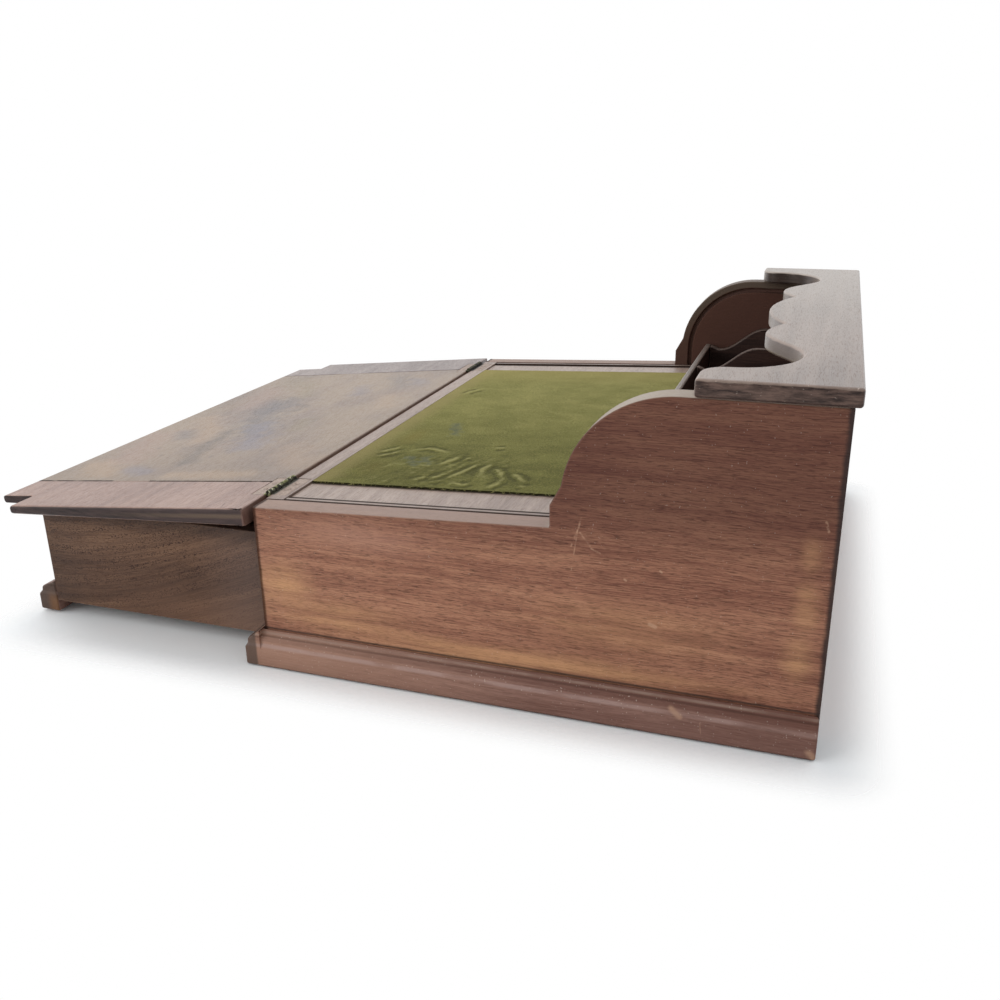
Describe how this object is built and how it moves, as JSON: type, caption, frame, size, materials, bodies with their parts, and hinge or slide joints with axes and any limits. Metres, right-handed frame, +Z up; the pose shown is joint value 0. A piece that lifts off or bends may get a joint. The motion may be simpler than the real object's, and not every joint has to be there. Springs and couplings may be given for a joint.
{
  "type": "lap desk",
  "caption": "Walnut lap desk with a baize-covered writing slope, a hinged flap that lies on the pulled-out drawer, and a stationery rack under a scalloped shelf between arched sides.",
  "frame": {"origin": "centre of the case's footprint, on the surface the desk stands on", "axes": "+Z up; -Y is the front, where the drawer and flap come out; +X is the right hand of someone sitting at the front"},
  "size_m": [0.3396, 0.4117, 0.1515],
  "materials": {
    "walnut": "worn satin polish",
    "walnut_top": "worn satin polish, greyed by use",
    "walnut_dark": "dark, unpolished inside of the rack",
    "drawer_wood": "plain oiled wood",
    "baize": "short olive pile, worn and creased",
    "brass": "tarnished, with green corrosion"
  },
  "bodies": {
    "case": {"back_board": "walnut", "bead_left": "walnut_top", "bead_right": "walnut_top", "bearer_left": "drawer_wood", "bearer_right": "drawer_wood", "bottom_board": "drawer_wood", "drawer_stop_left": "drawer_wood", "drawer_stop_right": "drawer_wood", "dust_board": "walnut_dark", "front_rail": "walnut_top", "hinge_case_leaf_left": "brass", "hinge_case_leaf_right": "brass", "hinge_case_screw_left_1": "brass", "hinge_case_screw_left_2": "brass", "hinge_case_screw_right_1": "brass", "hinge_case_screw_right_2": "brass", "hinge_pin_left": "brass", "hinge_pin_right": "brass", "plinth_left": "walnut", "plinth_return_left": "walnut", "plinth_return_right": "walnut", "plinth_right": "walnut", "rack_divider_left": "walnut_dark", "rack_divider_right": "walnut_dark", "rack_end_left": "walnut_dark", "rack_end_right": "walnut_dark", "rack_front_board": "walnut", "runner_left": "drawer_wood", "runner_right": "drawer_wood", "side_left": "walnut", "side_right": "walnut", "top_shelf": "walnut_top", "writing_board": "walnut_top", "writing_cloth": "baize"},
    "drawer": {"drawer_back": "drawer_wood", "drawer_bottom": "drawer_wood", "drawer_front": "walnut", "drawer_knob_left": "walnut", "drawer_knob_right": "walnut", "drawer_moulding": "walnut", "drawer_side_left": "drawer_wood", "drawer_side_right": "drawer_wood"},
    "flap": {"flap_cleat_left": "walnut_top", "flap_cleat_right": "walnut_top", "flap_panel": "walnut_top", "hinge_flap_leaf_left": "brass", "hinge_flap_leaf_right": "brass", "hinge_flap_screw_left_1": "brass", "hinge_flap_screw_left_2": "brass", "hinge_flap_screw_right_1": "brass", "hinge_flap_screw_right_2": "brass"}
  },
  "joints": [
    {"name": "drawer_slide", "type": "slide", "parent": "case", "child": "drawer", "axis": [0, 1, 0], "range_m": [0, 0.1378]},
    {"name": "flap_hinge", "type": "hinge", "parent": "case", "child": "flap", "pos_m": [0, -0.1278, 0.07947], "axis": [-1, 0, 0], "range_deg": [0, 182.7]}
  ]
}
